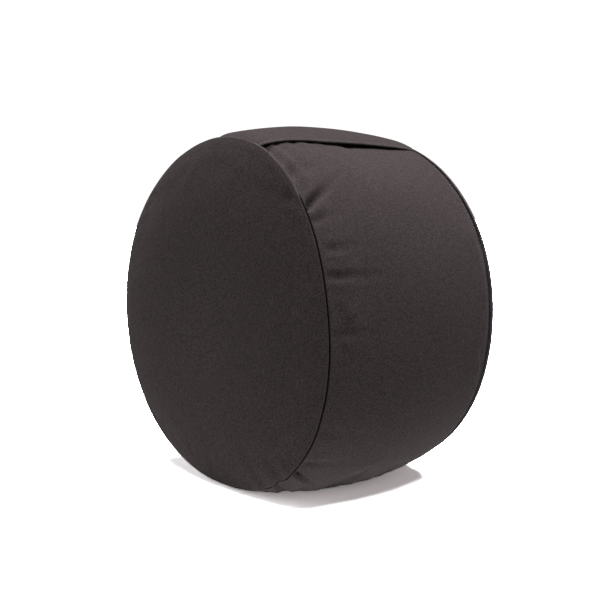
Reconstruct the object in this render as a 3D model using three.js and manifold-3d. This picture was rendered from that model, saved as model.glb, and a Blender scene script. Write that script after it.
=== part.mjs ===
// Round bolster cushion with a zip-off cover, lying on its side.
// Millimetres, +Z up. The cushion's axis runs along Y: the plain front panel faces -Y and the
// back panel, with the zip round its edge, faces +Y. Angles are measured round that axis,
// from +X towards +Z, so 90 degrees is straight up and -90 degrees is where the cushion rests.
import * as THREE from "three";
import { mergeVertices } from "three/addons/utils/BufferGeometryUtils.js";
import Module from "manifold-3d";

// ---- Driving dimensions ----
const FRONT_RADIUS = 150; // seam between the front panel and the band
const ZIP_RADIUS = 147; // the zip draws the back edge in a little
const BAND_LENGTH = 175; // from the front seam to the middle of the zip
const AXIS_HEIGHT = 146; // the cushion settles until its axis is this far above the floor
const SIDE_BULGE = 9; // swell of the band between its seams, at mid height
const SLUMP = 5; // the loose fill settles: less swell on top, more below
const DOME = 22; // how far each round panel stands out
const CLOTH = 1.5;
const HEM = 4; // straight turned edge of the band at both seams
const GAP = 0.3; // between pieces that touch

const HANDLE_ANGLE = 78; // middle of the strap: it lies to one side of the top
const HANDLE_WIDTH = 60;
const HANDLE_THICKNESS = 2.4;
const HANDLE_RADIUS = 158; // underside of the strap where it runs straight
const GRIP_HALF_LENGTH = 50;

const ZIP_START = -60; // open end, below on the near side
const ZIP_END = 195; // closed end, on the far side
const ZIP_SLOT = 3.2; // between the two turned cloth edges
const TAPE_THICKNESS = 0.6;
const COIL_WIDTH = 1.4;
const COIL_HEIGHT = 1.4;
const COIL_SPACING = 1.4; // clear way between the two coils for the slider's neck
const SLIDER_LENGTH = 9;
const SLIDER_WIDTH = 6.4;
const STOP_LENGTH = 3;

const LINER_DEPTH = 6; // from the cover's outer face to the inner bag
const LINER_CLOTH = 0.8;

// ---- Values worked out from them ----
const SEGMENTS = 48; // round the axis
const HALF_LENGTH = BAND_LENGTH / 2;
const DOME_POWER = 4;
const SMALL_STEP = 3.75; // degrees between the sections of the zip's arcs
const radians = THREE.MathUtils.degToRad;
const degrees = THREE.MathUtils.radToDeg;
const wasm = await Module();
wasm.setup();

const twill = { color: 0x383333, roughness: 0.92, metalness: 0 };
const strapTwill = { color: 0x3b3535, roughness: 0.9, metalness: 0 };
const zipTape = { color: 0x1c1e2a, roughness: 0.85, metalness: 0 };
const zipCoil = { color: 0x151824, roughness: 0.45, metalness: 0 };
const zipMetal = { color: 0x2b2c30, roughness: 0.35, metalness: 0.9 };
const linerCotton = { color: 0xcfc8b8, roughness: 0.95, metalness: 0 };
const hulls = { color: 0x5a4330, roughness: 0.9, metalness: 0 };

const cushion = new THREE.Group();
const lying = new THREE.Group(); // lifts the axis to its height above the floor
lying.position.z = AXIS_HEIGHT;
cushion.add(lying);

function addPiece(name, geometry, look, parent = lying) {
  const mesh = new THREE.Mesh(geometry, new THREE.MeshStandardMaterial(look));
  mesh.name = name;
  parent.add(mesh);
  return mesh;
}

// ---- The cover's form ----

// Outer radius of the band before it settles on the floor, at a place along the axis.
function bandRadius(y, angle) {
  const reach = HALF_LENGTH - HEM;
  const along = THREE.MathUtils.clamp(y / reach, -1, 1);
  const edge = THREE.MathUtils.lerp(FRONT_RADIUS, ZIP_RADIUS, (along + 1) / 2);
  const swell = SIDE_BULGE - SLUMP * Math.sin(angle);
  return edge + swell * (1 - along * along);
}

// How far a panel stands out at a radius, from nothing at its rim.
function domeHeight(radius, rimRadius, height) {
  return height * (1 - Math.pow(radius / rimRadius, DOME_POWER));
}

function isInZip(angle) {
  const turned = degrees(angle);
  const full = turned < ZIP_START - 1 ? turned + 360 : turned;
  return full > ZIP_START - 1 && full < ZIP_END + 1;
}

// The floor stops a point that lies a given depth under the cover's outer face.
function floorLimit(angle, depth) {
  const down = -Math.sin(angle);
  return down > 0 ? (AXIS_HEIGHT - depth) / down : Infinity;
}

// Turns a closed section round the Y axis. Each section point is { y, radius(angle) } and may
// have shift(angle), its move along Y. From the point innerFrom on, the section runs back along
// the inside of a wall, and its quads are split the other way, so that both faces match.
function turnSection(section, innerFrom = section.length) {
  const closed = section[0].radius(0) > 0;
  const ring = closed ? [...section, section[0]] : section;
  const outline = ring.map((point) => new THREE.Vector2(point.radius(0), point.y));
  const geometry = new THREE.LatheGeometry(outline, SEGMENTS);
  const position = geometry.getAttribute("position");
  for (let index = 0; index < position.count; index += 1) {
    const point = ring[index % ring.length];
    const turn = (Math.floor(index / ring.length) / SEGMENTS) * 2 * Math.PI;
    const angle = Math.PI / 2 - turn;
    const radius = point.radius(angle);
    const y = point.y + (point.shift ? point.shift(angle) : 0);
    position.setXYZ(index, radius * Math.cos(angle), y, radius * Math.sin(angle));
  }
  const corners = geometry.getIndex();
  for (let turn = 0; turn < SEGMENTS; turn += 1) {
    for (let place = innerFrom; place < ring.length - 1; place += 1) {
      const near = place + turn * ring.length;
      const far = near + ring.length;
      const first = 6 * (place + turn * (ring.length - 1));
      [near, far, far + 1, near, far + 1, near + 1].forEach(
        (corner, i) => corners.setX(first + i, corner));
    }
  }
  return geometry;
}

function bandPoint(y, depth, shift) {
  const radius = (angle) => Math.min(bandRadius(y, angle) - depth, floorLimit(angle, depth));
  return { y, radius, shift };
}

// A point of a round panel. The whole panel is drawn in where its rim meets the floor.
function panelPoint(y, radius, rimRadius, depth = 0, shift = undefined) {
  const squeeze = (angle) => Math.min(1, floorLimit(angle, depth) / rimRadius);
  return { y, radius: (angle) => radius * squeeze(angle), shift };
}

const zipBandShift = (angle) => (isInZip(angle) ? GAP / 2 - ZIP_SLOT / 2 : 0);
const zipPanelShift = (angle) => (isInZip(angle) ? ZIP_SLOT / 2 - GAP / 2 : 0);

// Places along the axis for a band: both ends, and even steps between its hems.
function bandPlaces(halfLength, steps) {
  const hem = halfLength - HEM;
  const places = [-halfLength];
  for (let step = 0; step <= steps; step += 1) places.push(-hem + (2 * hem * step) / steps);
  places.push(halfLength);
  return places;
}

function makeBand(halfLength, depth, thickness, steps, backShift) {
  const places = bandPlaces(halfLength, steps);
  const last = places.length - 1;
  const outer = places.map((y, i) => bandPoint(y, depth, i === last ? backShift : undefined));
  const inner = places.map((y, i) =>
    bandPoint(y, depth + thickness, i === last ? backShift : undefined));
  return turnSection([...outer, ...inner.reverse()], outer.length);
}

// One round panel: side is -1 for the front and 1 for the back. The lip is the straight part
// of its turned edge, before the dome begins.
function makePanel({ side, rim, rimRadius, lip, height, thickness, depth, lipShift }) {
  const fractions = [1, 0.985, 0.95, 0.88, 0.75, 0.5];
  const point = (y, radius, shift) => panelPoint(side * y, radius, rimRadius, depth, shift);
  const start = rim + lip;
  const outer = fractions.map((f) =>
    point(start + domeHeight(f * rimRadius, rimRadius, height - lip), f * rimRadius));
  outer.push(point(rim + height, 0));
  const inner = fractions.slice(1).map((f) => {
    const radius = f * rimRadius;
    return point(start + domeHeight(radius, rimRadius, height - lip) - thickness, radius);
  });
  inner.push(point(rim + height - thickness, 0));
  const innerLip = [point(rim, rimRadius - thickness, lipShift)];
  const outerLip = lip > 0 ? [point(rim, rimRadius, lipShift)] : [];
  const loop = [...inner.reverse(), ...innerLip, ...outerLip, ...outer];
  return turnSection(side > 0 ? loop : loop.reverse());
}

// ---- Sections swept along an arc round the axis ----
class RingArc extends THREE.Curve {
  constructor(y, radius, fromAngle, toAngle) {
    super();
    Object.assign(this, { y, radius, fromAngle, toAngle });
  }

  getPoint(t, target = new THREE.Vector3()) {
    const angle = radians(THREE.MathUtils.lerp(this.fromAngle, this.toAngle, t));
    return target.set(this.radius * Math.cos(angle), this.y, this.radius * Math.sin(angle));
  }
}

// Sweeps an outline of [y, radius] points round the axis from one angle to another.
function sweepOutline(outline, fromAngle, toAngle, steps) {
  const [y0, r0] = outline[0];
  const shape = new THREE.Shape(outline.map(([y, r]) => new THREE.Vector2(y0 - y, r - r0)));
  const extrudePath = new RingArc(y0, r0, fromAngle, toAngle);
  return new THREE.ExtrudeGeometry(shape, { steps, extrudePath, bevelEnabled: false });
}

function sweepBlock(yLow, yHigh, rLow, rHigh, fromAngle, toAngle) {
  const steps = Math.max(1, Math.round((toAngle - fromAngle) / SMALL_STEP));
  const outline = [[yLow, rLow], [yHigh, rLow], [yHigh, rHigh], [yLow, rHigh]];
  return sweepOutline(outline, fromAngle, toAngle, steps);
}

// ---- Cover ----
function addCover() {
  const seam = HALF_LENGTH - GAP / 2;
  addPiece("side_band", makeBand(seam, 0, CLOTH, 6, zipBandShift), twill);
  addPiece("front_panel", makePanel({
    side: -1, rim: HALF_LENGTH + GAP / 2, rimRadius: FRONT_RADIUS, lip: 0,
    height: DOME - GAP / 2, thickness: CLOTH, depth: 0,
  }), twill);
  addPiece("back_panel", makePanel({
    side: 1, rim: HALF_LENGTH + GAP / 2, rimRadius: ZIP_RADIUS, lip: 3,
    height: DOME - GAP / 2, thickness: CLOTH, depth: 0, lipShift: zipPanelShift,
  }), twill);
}

// ---- Inner bag and fill ----
function addLiner() {
  const half = HALF_LENGTH - 3.5;
  const height = DOME - 1.5;
  const bandSteps = 4;
  const frontRadius = FRONT_RADIUS - LINER_DEPTH;
  const backRadius = ZIP_RADIUS - LINER_DEPTH;
  const panel = { lip: 0, height, thickness: LINER_CLOTH, depth: LINER_DEPTH };
  addPiece("liner_side_band",
    makeBand(half - GAP / 2, LINER_DEPTH, LINER_CLOTH, bandSteps), linerCotton);
  addPiece("liner_front_panel",
    makePanel({ ...panel, side: -1, rim: half + GAP / 2, rimRadius: frontRadius }), linerCotton);
  addPiece("liner_back_panel",
    makePanel({ ...panel, side: 1, rim: half + GAP / 2, rimRadius: backRadius }), linerCotton);

  const fillDepth = LINER_DEPTH + LINER_CLOTH + GAP;
  const fillHalf = half - GAP / 2;
  const fillHeight = height - 3;
  const side = bandPlaces(fillHalf, bandSteps).map((y) => bandPoint(y, fillDepth));
  const fractions = [0.88, 0.75, 0.5, 0];
  const end = (sign, rimRadius) => fractions.map((f) => {
    const rim = rimRadius - fillDepth;
    const y = sign * (fillHalf + domeHeight(f * rim, rim, fillHeight));
    return panelPoint(y, f * rim, rim, fillDepth);
  });
  const front = end(-1, FRONT_RADIUS).reverse();
  addPiece("hull_fill", turnSection([...front, ...side, ...end(1, ZIP_RADIUS)]), hulls);
}

// ---- Carrying handle: one folded strap in three stretches ----
function addHandle() {
  const angle = radians(HANDLE_ANGLE);
  const halfTurn = degrees(HANDLE_WIDTH / 2 / HANDLE_RADIUS);
  const frontEnd = -HALF_LENGTH + GAP;
  const backEnd = HALF_LENGTH - SLIDER_WIDTH; // stops short of the slider's way
  const underside = (y) => {
    const end = y < 0 ? frontEnd : backEnd;
    const away = (Math.abs(end) - Math.abs(y)) / (Math.abs(end) - GRIP_HALF_LENGTH);
    const rise = THREE.MathUtils.smoothstep(away, 0, 1);
    return THREE.MathUtils.lerp(bandRadius(y, angle) + GAP, HANDLE_RADIUS, rise);
  };
  const stretch = (from, to, steps) => {
    const lower = [];
    for (let step = 0; step <= steps; step += 1) {
      const y = THREE.MathUtils.lerp(from, to, step / steps);
      lower.push([y, underside(y)]);
    }
    const upper = lower.map(([y, r]) => [y, r + HANDLE_THICKNESS]).reverse();
    const turnSteps = 6;
    return sweepOutline([...lower, ...upper], HANDLE_ANGLE - halfTurn, HANDLE_ANGLE + halfTurn,
      turnSteps);
  };
  addPiece("handle_front_end", stretch(frontEnd, -GRIP_HALF_LENGTH, 6), strapTwill);
  addPiece("handle_grip", stretch(-GRIP_HALF_LENGTH + GAP, GRIP_HALF_LENGTH - GAP, 1), strapTwill);
  addPiece("handle_rear_end", stretch(GRIP_HALF_LENGTH, backEnd, 6), strapTwill);
}

// ---- Zip ----
const COIL_TOP = ZIP_RADIUS - CLOTH - 2 * GAP;
const COIL_BASE = COIL_TOP - COIL_HEIGHT;
const TAPE_TOP = COIL_BASE - GAP;
const TAPE_BASE = TAPE_TOP - TAPE_THICKNESS;
const STOP_TOP = ZIP_RADIUS + 1.2;
const STOP_TURN = degrees(STOP_LENGTH / ZIP_RADIUS);
const COIL_START = ZIP_START + 3;
const COIL_END = ZIP_END - 4;
const SLIDER_HALF_TURN = degrees(SLIDER_LENGTH / 2 / ZIP_RADIUS);
const SLIDER_ANGLE = COIL_END - SLIDER_HALF_TURN - degrees(GAP / ZIP_RADIUS); // closed, at rest

function addZipTapesAndCoils() {
  const bandEdge = HALF_LENGTH - COIL_SPACING / 2;
  const panelEdge = HALF_LENGTH + COIL_SPACING / 2;
  const tapeReach = 6; // how far the tape runs in under the band
  const tapeTurn = panelEdge + 1.7; // where the other tape turns down behind the panel
  const tapeDrop = 9;
  addPiece("zip_tape_band_side",
    sweepBlock(bandEdge - tapeReach, bandEdge, TAPE_BASE, TAPE_TOP, ZIP_START, ZIP_END), zipTape);
  const bentTape = [
    [panelEdge, TAPE_BASE], [tapeTurn, TAPE_BASE], [tapeTurn, TAPE_BASE - tapeDrop],
    [tapeTurn + TAPE_THICKNESS, TAPE_BASE - tapeDrop], [tapeTurn + TAPE_THICKNESS, TAPE_TOP],
    [panelEdge, TAPE_TOP],
  ];
  const steps = Math.round((ZIP_END - ZIP_START) / SMALL_STEP);
  addPiece("zip_tape_panel_side", sweepOutline(bentTape, ZIP_START, ZIP_END, steps), zipTape);
  addPiece("zip_coil_band_side", sweepBlock(bandEdge - COIL_WIDTH, bandEdge, COIL_BASE, COIL_TOP,
    COIL_START, COIL_END), zipCoil);
  addPiece("zip_coil_panel_side", sweepBlock(panelEdge, panelEdge + COIL_WIDTH, COIL_BASE,
    COIL_TOP, COIL_START, COIL_END), zipCoil);
}

function addZipStops() {
  const split = 0.4; // between the two top stops
  const width = 1.1;
  const clear = degrees(GAP / ZIP_RADIUS);
  const topFrom = COIL_END + clear;
  const low = HALF_LENGTH - split / 2;
  const high = HALF_LENGTH + split / 2;
  const block = (yLow, yHigh, from) =>
    sweepBlock(yLow, yHigh, COIL_BASE, STOP_TOP, from, from + STOP_TURN);
  addPiece("zip_top_stop_band_side", block(low - width, low, topFrom), zipMetal);
  addPiece("zip_top_stop_panel_side", block(high, high + width, topFrom), zipMetal);
  addPiece("zip_bottom_stop",
    block(low - width, high + width, COIL_START - clear - STOP_TURN), zipMetal);
}

function toSolid(geometry) {
  const bare = geometry.clone();
  bare.deleteAttribute("normal");
  bare.deleteAttribute("uv");
  const merged = mergeVertices(bare);
  return new wasm.Manifold(new wasm.Mesh({
    numProp: 3,
    vertProperties: new Float32Array(merged.getAttribute("position").array),
    triVerts: new Uint32Array(merged.getIndex().array),
  }));
}

function toGeometry(solid) {
  const mesh = solid.getMesh();
  const geometry = new THREE.BufferGeometry();
  geometry.setAttribute("position", new THREE.BufferAttribute(mesh.vertProperties, 3));
  geometry.setIndex(new THREE.BufferAttribute(mesh.triVerts, 1));
  geometry.computeVertexNormals();
  return geometry;
}

// A box from its ranges along the zip (x), across it (y) and away from the axis (z).
function boxBetween(x0, x1, y0, y1, z0, z1) {
  const box = new THREE.BoxGeometry(x1 - x0, y1 - y0, z1 - z0);
  return box.translate((x0 + x1) / 2, (y0 + y1) / 2, (z0 + z1) / 2);
}

// The slider's own frame stands on the axis: x runs along the zip, z away from the axis.
const PLATE_BASE = ZIP_RADIUS + GAP;
const PLATE_TOP = PLATE_BASE + 1.2;
const PIVOT_RADIUS = PLATE_TOP + 1.1;
const BAIL_INSIDE = 2.1; // half the length of the space under the bail
const BAIL_THICKNESS = 1;

function makeSlider() {
  const halfLength = SLIDER_LENGTH / 2;
  const halfWidth = SLIDER_WIDTH / 2;
  const neck = 0.4; // half the width of the neck between the coils
  const lowerTop = TAPE_BASE - 0.5;
  const lowerBase = lowerTop - 1.2;
  const lowerHalf = COIL_SPACING / 2 + 1.4;
  const bailHalf = 0.6;
  const bailTop = PIVOT_RADIUS + 1.1;
  const postOut = BAIL_INSIDE + BAIL_THICKNESS;
  const sink = 0.2; // joined pieces run into each other by this much
  const blocks = [
    boxBetween(-halfLength, halfLength, -halfWidth, halfWidth, PLATE_BASE, PLATE_TOP),
    boxBetween(-halfLength, halfLength, -neck, neck, lowerTop - sink, PLATE_BASE + sink),
    boxBetween(-halfLength, halfLength, -lowerHalf, lowerHalf, lowerBase, lowerTop),
    boxBetween(-postOut, -BAIL_INSIDE, -bailHalf, bailHalf, PLATE_TOP - sink, bailTop + sink),
    boxBetween(BAIL_INSIDE, postOut, -bailHalf, bailHalf, PLATE_TOP - sink, bailTop + sink),
    boxBetween(-postOut, postOut, -bailHalf, bailHalf, bailTop, bailTop + BAIL_THICKNESS),
  ];
  return toGeometry(blocks.map(toSolid).reduce((whole, block) => whole.add(block)));
}

// A flat tab with an eye; the bar at its near end sits under the bail and is its pivot.
function makePullTab() {
  const bar = 0.6;
  const halfWidth = 2.6;
  const eyeHalf = 1.2;
  const eyeEnd = 5;
  const tipWidth = 3.1;
  const length = 22;
  const outline = new THREE.Shape();
  outline.moveTo(-bar, -halfWidth);
  outline.lineTo(eyeEnd, -halfWidth);
  outline.lineTo(length - tipWidth, -tipWidth);
  outline.absarc(length - tipWidth, 0, tipWidth, -Math.PI / 2, Math.PI / 2, false);
  outline.lineTo(eyeEnd, halfWidth);
  outline.lineTo(-bar, halfWidth);
  const eye = new THREE.Path();
  eye.moveTo(bar, -eyeHalf);
  eye.lineTo(bar, eyeHalf);
  eye.lineTo(eyeEnd, eyeHalf);
  eye.lineTo(eyeEnd, -eyeHalf);
  outline.holes.push(eye);
  const thickness = 2 * bar;
  const tab = new THREE.ExtrudeGeometry(outline, {
    depth: thickness, bevelEnabled: false, curveSegments: 6,
  });
  return tab.translate(0, 0, -thickness / 2);
}

function addZipSlider() {
  // The holder's z runs out from the axis through the slider, and its x back along the zip.
  const holder = new THREE.Group();
  holder.position.y = HALF_LENGTH;
  holder.rotation.y = radians(90 - SLIDER_ANGLE);
  lying.add(holder);
  addPiece("zip_slider", makeSlider(), zipMetal, holder);
  const tab = addPiece("zip_pull_tab", makePullTab(), zipMetal, holder);
  tab.position.z = PIVOT_RADIUS;
  tab.rotation.y = radians(SLIDER_ANGLE); // hangs straight down
}

addCover();
addLiner();
addHandle();
addZipTapesAndCoils();
addZipStops();
addZipSlider();

export default cushion;
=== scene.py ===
# Round bolster cushion with a zip-off cover: cloth, strap and zip made around the fixed frame.
# Metres, +Z up. The axis runs along Y; the plain front panel faces -Y and the zip is at the back.
# Angles go round that axis from +X towards +Z, so 90 degrees is the top.
import math

import bmesh
import bpy
import numpy as np
from mathutils import Matrix, Vector, noise


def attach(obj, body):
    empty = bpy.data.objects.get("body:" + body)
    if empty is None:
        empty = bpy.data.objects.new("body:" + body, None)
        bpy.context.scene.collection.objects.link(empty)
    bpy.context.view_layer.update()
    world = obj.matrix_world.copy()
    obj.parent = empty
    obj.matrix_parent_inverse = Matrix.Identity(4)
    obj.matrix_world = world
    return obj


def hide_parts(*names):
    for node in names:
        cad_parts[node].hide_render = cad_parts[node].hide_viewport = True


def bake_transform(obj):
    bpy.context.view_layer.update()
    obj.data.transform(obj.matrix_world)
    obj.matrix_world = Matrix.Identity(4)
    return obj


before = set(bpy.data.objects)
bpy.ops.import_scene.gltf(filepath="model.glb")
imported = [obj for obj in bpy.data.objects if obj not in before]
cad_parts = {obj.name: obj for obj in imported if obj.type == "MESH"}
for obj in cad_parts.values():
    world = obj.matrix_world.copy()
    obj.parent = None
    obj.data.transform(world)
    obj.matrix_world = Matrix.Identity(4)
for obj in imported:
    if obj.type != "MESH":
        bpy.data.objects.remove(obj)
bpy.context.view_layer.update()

MM = 0.001
PI = math.pi

# ---- Driving sizes ----
FRONT_RADIUS = 150 * MM
ZIP_RADIUS = 147 * MM
HALF_LENGTH = 87.5 * MM
AXIS_HEIGHT = 146 * MM
SWELL = 10.95 * MM  # of the band between its seams, at mid height
SETTLE = 2.0 * MM  # less swell on top and more below
FRONT_DOME = 22 * MM
BACK_DOME = 21.5 * MM
DOME_POWER = 4
# How far the front seam is from a true circle: harmonic, cosine part, sine part.
SEAM_SHAPE = ((2, 0.0181, 0.0023), (3, -0.0214, -0.0140), (4, -0.0064, -0.0047))
CLOTH = 1.2 * MM
SEAM_GAP = 0.3 * MM
SEAM_CREASE = 0.9 * MM  # open line of the front seam
HEM_DEPTH = 5.0 * MM  # of the turned edges that run in at each seam
ZIP_SLOT = 2.2 * MM
ZIP_PRESS = (1.5 * MM, -3, 24)  # its ring lies in a little: depth, middle and spread in degrees
ZIP_FROM, ZIP_TO = math.radians(-60), math.radians(195)
ZIP_EASE = math.radians(3)

ROUND = 480  # steps round the axis
LENGTHS = 78  # steps along the band
COARSE = 3  # the cloth simulation's grid is this much coarser


# ---- Small helpers ----
def clear_selection():
    bpy.ops.object.select_all(action="DESELECT")
    bpy.context.view_layer.objects.active = None


def smoothstep(value, low, high):
    t = np.clip((value - low) / (high - low), 0, 1)
    return t * t * (3 - 2 * t)


def soft_min(a, b, reach):
    share = np.clip(0.5 + 0.5 * (b - a) / reach, 0, 1)
    return b * (1 - share) + a * share - reach * share * (1 - share)


def wrap(angle):
    return (angle + PI) % (2 * PI) - PI


def degrees(angle):
    return np.degrees(wrap(angle))


def between(turned, starts, full, fades, ends):
    """1 between two angles in degrees, eased on either side."""
    return smoothstep(turned, starts, full) * (1 - smoothstep(turned, fades, ends))


def round_axis(radius, angle, y):
    """Points at these distances from the axis, angles round it and places along it."""
    x, z = radius * np.cos(angle), AXIS_HEIGHT + radius * np.sin(angle)
    return np.stack([x, y + 0 * x, z], -1)


# ---- The cover's form ----
def seam_radius(angle):
    wave = sum(c * np.cos(n * angle) + s * np.sin(n * angle) for n, c, s in SEAM_SHAPE)
    return FRONT_RADIUS * (1 + wave)


def zip_radius(angle):
    depth, middle, spread = ZIP_PRESS
    return ZIP_RADIUS - depth * np.exp(-((degrees(angle) - middle) / spread) ** 2)


def floor_limit(angle, depth=0.0):
    down = np.maximum(-np.sin(angle), 1e-3)
    return np.where(np.sin(angle) < -1e-3, (AXIS_HEIGHT - depth) / down, 9.0)


def settle(radius, angle, depth=0.0, reach=5 * MM):
    return soft_min(radius, floor_limit(angle, depth), reach)


def band_radius(y, angle, depth=0.0):
    along = np.clip(y / HALF_LENGTH, -1, 1)
    share = (along + 1) / 2
    edge = seam_radius(angle) * (1 - share) + zip_radius(angle) * share
    swell = (SWELL - SETTLE * np.sin(angle)) * (1 - along * along) - held_down(y, angle)
    return settle(edge + swell - depth, angle, depth)


# The strap holds the band down along the top: place along the cushion and depth, in mm.
HOLLOW = ((-88, 1.8), (-85, 2.7), (-80, 2.4), (-73, 1.7), (-61, 1.3), (-50, 1.8), (-35, 3.7),
          (-22, 5.2), (3, 6.8), (19, 6.4), (48, 3.9), (60, 2.2), (75, 0.3), (88, 0))


def held_down(y, angle):
    table = np.array(HOLLOW, dtype=float) * MM
    return np.interp(y, table[:, 0], table[:, 1]) * between(degrees(angle), 38, 68, 90, 116)


def in_zip(angle):
    """1 along the zip, 0 where the slot is sewn shut, eased at its ends."""
    middle = (ZIP_FROM + ZIP_TO) / 2
    half = (ZIP_TO - ZIP_FROM) / 2
    away = np.abs(wrap(angle - middle))
    return 1 - smoothstep(away, half, half + ZIP_EASE)


# Folds that run from the front seam across the band:
# angle and angle change per metre along the band, start, length, half width, depth.
FOLDS = (
    (38.0, 0.23, 0.8, 20, 4.0, 6.0),
    (33.2, 0.08, 1.0, 15, 3.4, 1.5),
    (24.5, 0.0, 5.0, 20, 3.8, 1.2),
    (16.6, -0.02, 1.0, 30, 3.4, 2.0),
    (-0.4, 0.0, 1.0, 24, 3.6, 1.5),
    (50.5, 0.10, 1.0, 22, 6.5, 2.2),
    (64.0, 0.2, 0.8, 11, 3.0, 2.8),
    (-42.4, 0.0, 1.0, 22, 3.6, 1.5),
    (-47.5, -0.25, 0.8, 20, 2.5, 5.6),
    (-58.0, -0.35, 0.8, 20, 3.4, 3.4),
    (-16.0, 0.05, 1.0, 20, 4.6, 0.8),
    (-29.0, -0.05, 1.0, 22, 5.0, 0.8),
    (96.0, -0.05, 1.0, 20, 4.0, 1.6),
    (108.0, -0.15, 1.0, 26, 4.5, 2.4),
    (121.0, -0.05, 1.0, 22, 4.0, 1.4),
    (133.0, -0.15, 1.0, 30, 4.2, 2.8),
    (147.0, 0.05, 1.0, 20, 4.0, 1.2),
    (163.0, -0.1, 1.0, 26, 4.2, 2.0),
    (178.0, 0.0, 1.0, 20, 4.0, 1.1),
    (194.0, 0.1, 1.0, 28, 4.0, 2.2),
    (212.0, 0.1, 1.0, 22, 4.0, 1.4),
    (228.0, 0.2, 1.0, 24, 3.4, 2.8),
)


def fold(distance, across, length, width, depth):
    """A valley with a low ridge on either side, dying away from the seam."""
    x = np.maximum(distance, 0) / length
    fade = np.exp(-(x**1.7)) * (1 - np.exp(-x / 0.13)) * 1.15
    s = across / width
    return -depth * fade * (1.0 - 0.55 * s * s) * np.exp(-0.5 * s * s)


def hash_wave(angle, seed, counts, fall=0.7):
    """A smooth wandering line round the axis, the same each run."""
    total = np.zeros_like(angle)
    for i, count in enumerate(counts):
        phase = math.sin(seed * 12.9898 + i * 78.233) * 43758.5453
        total = total + (fall**i) * np.sin(count * angle + (phase % 1.0) * 2 * PI)
    return total / sum(fall**i for i in range(len(counts)))


def seam_open(angle):
    """1 where the front seam lies open as a dark line, partly an open gap and partly painted shade,
    0 where the panel's edge rolls over it.
    """
    turned = degrees(angle)
    low = 1 - smoothstep(turned, 41, 47)
    left = smoothstep(np.abs(turned), 100, 130)
    return np.maximum(low * (1 - left), 0.5 * left)


def seam_ridge(angle):
    """How far the panel's edge stands proud of the band, beside the strap."""
    return between(degrees(angle), 38, 48, 64, 74) * MM


def seam_gap(angle):
    return SEAM_GAP + (SEAM_CREASE - SEAM_GAP) * seam_open(angle)


def seam_wander(angle):
    """How far the front seam strays from its plane and from its ring, most of all low down."""
    low = np.exp(-((degrees(angle) + 62) / 16) ** 2)
    step = (0.22 * hash_wave(angle, 3, (7, 13, 22, 31))
            + 1.3 * low * hash_wave(angle, 8, (29, 43, 64)))
    drift = (0.18 * hash_wave(angle, 5, (9, 17, 27))
             + 0.8 * low * hash_wave(angle, 6, (25, 46, 70)))
    return step * MM, drift * MM


def band_relief(y, angle):
    """Folds, slack and the settled fill's low lumps, along the radius."""
    from_front = (y + HALF_LENGTH) / MM
    from_zip = (HALF_LENGTH - y) / MM
    total = np.zeros(np.broadcast(y, angle).shape)
    for place, slope, start, length, width, depth in FOLDS:
        line = math.radians(place) + math.radians(slope) * (from_front - start)
        across = wrap(angle - line) * FRONT_RADIUS / MM
        total = total + fold(from_front - start, across, length, width, depth)
    lumps = hash_wave(angle + 3 * y, 11, (3, 5, 8)) * np.sin(PI * (y / HALF_LENGTH + 1) / 2)
    total = total + 0.7 * lumps
    slack = hash_wave(angle - 2.0 * y, 17, (31, 43, 57, 73), 0.85)
    total = total + 0.28 * slack * np.exp(-from_zip / 14) * (1 - np.exp(-from_zip / 2.5))
    sewn = smoothstep(from_front, 1.5, 15) * smoothstep(from_zip, 0.5, 8)
    total = total + sewn * band_slack(y, angle) / MM
    held = smoothstep(floor_limit(angle) - band_radius(y, angle), 0.0, 4 * MM)
    return total * MM * held


# ---- Meshes from grids ----
def add_mesh(name, points, faces, corner_uv, material):
    mesh = bpy.data.meshes.new(name)
    mesh.from_pydata([tuple(p) for p in points], [], [tuple(int(i) for i in f) for f in faces])
    layer = mesh.uv_layers.new(name="Cut")
    flat = np.asarray(corner_uv, dtype=np.float32).reshape(-1)
    layer.data.foreach_set("uv", flat)
    mesh.polygons.foreach_set("use_smooth", np.ones(len(mesh.polygons), dtype=bool))
    mesh.materials.append(material)
    mesh.update()
    piece = bpy.data.objects.new(name, mesh)
    bpy.context.scene.collection.objects.link(piece)
    return piece


def mark(piece, name, share):
    """A value from 0 to 1 at each vertex, for the cloth's material."""
    layer = piece.data.attributes.new(name, "FLOAT", "POINT")
    layer.data.foreach_set("value", np.asarray(share, dtype=np.float32))


def place_piece(piece, body, node):
    """Says what a piece moves with, and hides the fixed node it stands for."""
    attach(piece, body)
    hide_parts(node)


def run_lengths(a, b):
    """Length travelled along a closed outline, up to each of its corners and back to the first."""
    steps = np.hypot(np.diff(a, append=a[0]), np.diff(b, append=b[0]))
    return np.concatenate([[0], np.cumsum(steps)])


def turn_outward(piece):
    """Faces of a closed wall point out of the cloth; the volume says which way they are."""
    work = bmesh.new()
    work.from_mesh(piece.data)
    volume = work.calc_volume(signed=True)
    if volume < 0:
        bmesh.ops.reverse_faces(work, faces=work.faces)
        work.to_mesh(piece.data)
    work.free()
    return piece


def close_grid(grid_points, grid_uv):
    """Faces of a grid that closes on itself both ways. The last row and column of the cut's
    places are kept apart, so that the weave doesn't wrap back across one face."""
    rounds, lengths = grid_points.shape[:2]
    i, j = np.meshgrid(np.arange(rounds), np.arange(lengths), indexing="ij")
    i2, j2 = (i + 1) % rounds, (j + 1) % lengths
    faces = np.stack([i * lengths + j, i * lengths + j2, i2 * lengths + j2, i2 * lengths + j], -1)
    uv = np.stack([grid_uv[i, j], grid_uv[i, j + 1], grid_uv[i + 1, j + 1], grid_uv[i + 1, j]], 2)
    return faces.reshape(-1, 4), uv.reshape(-1, 2)


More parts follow.
